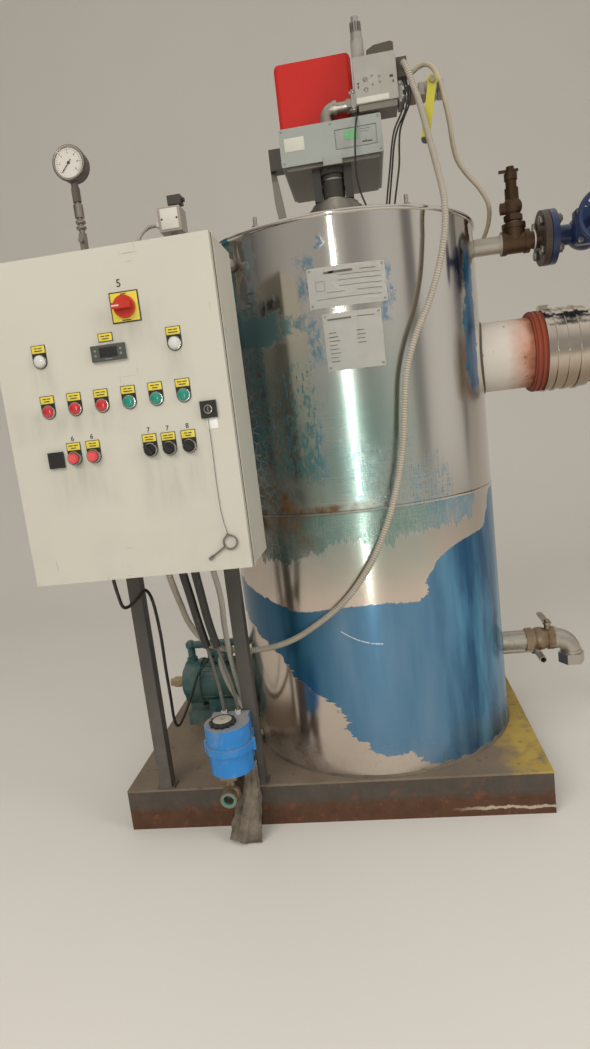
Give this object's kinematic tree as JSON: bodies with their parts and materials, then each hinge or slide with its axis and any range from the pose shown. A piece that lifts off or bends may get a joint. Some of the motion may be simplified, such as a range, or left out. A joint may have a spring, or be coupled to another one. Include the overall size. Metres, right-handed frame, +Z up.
{
  "type": "vertical steam boiler on a skid",
  "caption": "Vertical cylindrical boiler with a top burner on a steel skid, with a control cabinet, a feed pump, a flue tee and valved outlets.",
  "frame": {"origin": "axis of the round casing at floor level, which lies on the skid's underside", "axes": "+Z up along the casing's axis, +X towards the steam and flue outlets, and the cabinet door faces -Y"},
  "size_m": [1.6725, 1.128, 2.126],
  "materials": {
    "skid_steel": "worn dark and rust-red paint",
    "deck_steel": "worn dark paint",
    "casing_steel": "bright sheet with blue film left on",
    "dark_steel": "satin",
    "burner_grey": "satin",
    "hood_red": "semi-gloss",
    "valve_alloy": "cast",
    "pipe_steel": "dull",
    "pipe_brass": "dull brown",
    "lever_yellow": "sleeved",
    "valve_blue": "gloss paint",
    "flue_steel": "dull",
    "seal_rubber": "red silicone",
    "cabinet_paint": "light grey powder coat",
    "frame_steel": "grey paint",
    "legend_plastic": "yellow",
    "switch_red": "gloss",
    "switch_black": "gloss",
    "lamp_plastic": "lenses in red, green and white",
    "lock_metal": "dull",
    "string_fibre": "white string",
    "cable_light": "beige sheath",
    "cable_dark": "black sheath",
    "pump_teal": "paint",
    "actuator_blue": "semi-gloss",
    "hose_grey": "dusty",
    "instrument_metal": "dull"
  },
  "bodies": {
    "boiler": {"skid_rails": "skid_steel", "skid_cross_members": "skid_steel", "skid_plate": "deck_steel", "boiler_drum": "dark_steel", "casing_lower": "casing_steel", "casing_upper": "casing_steel", "lid_plate": "dark_steel", "burner_neck": "pipe_steel", "blast_tube": "dark_steel", "burner_body": "burner_grey", "burner_hood": "hood_red", "gas_valve_block": "valve_alloy", "gas_valve_actuator": "pipe_steel", "gas_elbow_pipe": "pipe_steel", "gas_cock": "pipe_steel", "steam_pipe": "pipe_brass", "safety_valve": "pipe_brass", "stop_valve": "valve_blue", "flue_stub": "flue_steel", "flue_seal": "seal_rubber", "flue_adapter": "flue_steel", "flue_tee": "flue_steel", "drain_pipework": "pipe_steel", "drain_valve": "pipe_brass", "cabinet_posts": "frame_steel", "cabinet_rails": "frame_steel", "cabinet_box": "cabinet_paint", "mounting_plate": "flue_steel", "instrument_pipe": "pipe_steel", "pressure_gauge": "instrument_metal", "pressure_switch": "instrument_metal", "pump_motor": "pump_teal", "feed_pump": "pump_teal", "blowdown_pipe": "pipe_steel", "blowdown_valve": "pipe_steel", "blowdown_actuator": "actuator_blue", "blowdown_hose": "hose_grey", "flexible_conduit": "cable_light", "burner_cable": "cable_light", "actuator_cables": "cable_dark", "motor_cable": "cable_dark", "post_conduit": "cable_light"},
    "door": {"cabinet_door": "cabinet_paint", "legend_plates": "legend_plastic", "panel_controller": "switch_black", "pilot_lamps": "lamp_plastic", "switch_bodies": "switch_black", "key_string": "string_fibre", "door_key": "lock_metal"},
    "main_switch_handle": {"main_switch_handle": "switch_red"},
    "push_button_left": {"push_button_left": "switch_red"},
    "push_button_right": {"push_button_right": "switch_red"},
    "selector_left": {"selector_left": "switch_black"},
    "selector_middle": {"selector_middle": "switch_black"},
    "selector_right": {"selector_right": "switch_black"},
    "door_lock": {"door_lock": "lock_metal"},
    "gas_cock_lever": {"gas_cock_lever": "lever_yellow"},
    "stop_valve_handwheel": {"stop_valve_handwheel": "valve_blue"},
    "drain_valve_lever": {"drain_valve_lever": "frame_steel"}
  },
  "joints": [
    {"name": "door_hinge", "type": "hinge", "parent": "boiler", "child": "door", "pos_m": [-0.731, -0.671, 1.15], "axis": [0, 0, -1], "range_deg": [0, 120]},
    {"name": "main_switch_turn", "type": "hinge", "parent": "door", "child": "main_switch_handle", "pos_m": [-0.42, -0.69, 1.376], "axis": [0, 1, 0], "range_deg": [0, 90]},
    {"name": "push_button_left_press", "type": "slide", "parent": "door", "child": "push_button_left", "axis": [0, 1, 0], "range_m": [0, 0.004], "stiffness_N_per_m": 800},
    {"name": "push_button_right_press", "type": "slide", "parent": "door", "child": "push_button_right", "axis": [0, 1, 0], "range_m": [0, 0.004], "stiffness_N_per_m": 800},
    {"name": "door_lock_turn", "type": "hinge", "parent": "door", "child": "door_lock", "pos_m": [-0.273, -0.69, 1.147], "axis": [0, 1, 0], "range_deg": [0, 90]},
    {"name": "gas_cock_turn", "type": "hinge", "parent": "boiler", "child": "gas_cock_lever", "pos_m": [0.302, -0.1855, 1.916], "axis": [0, -1, 0], "range_deg": [0, 102]},
    {"name": "drain_valve_turn", "type": "hinge", "parent": "boiler", "child": "drain_valve_lever", "pos_m": [0.544, 0, 0.383], "axis": [0, 0, 1], "range_deg": [0, 90]},
    {"name": "stop_valve_turn", "type": "hinge", "parent": "boiler", "child": "stop_valve_handwheel", "pos_m": [0.71, -0.182, 1.53], "axis": [0, -1, 0], "continuous": true},
    {"name": "selector_left_turn", "type": "hinge", "parent": "door", "child": "selector_left", "pos_m": [-0.411, -0.69, 1.077], "axis": [0, 1, 0], "range_deg": [0, 90]},
    {"name": "selector_middle_turn", "type": "hinge", "parent": "door", "child": "selector_middle", "pos_m": [-0.369, -0.69, 1.076], "axis": [0, 1, 0], "range_deg": [0, 90]},
    {"name": "selector_right_turn", "type": "hinge", "parent": "door", "child": "selector_right", "pos_m": [-0.325, -0.69, 1.076], "axis": [0, 1, 0], "range_deg": [0, 90]}
  ]
}
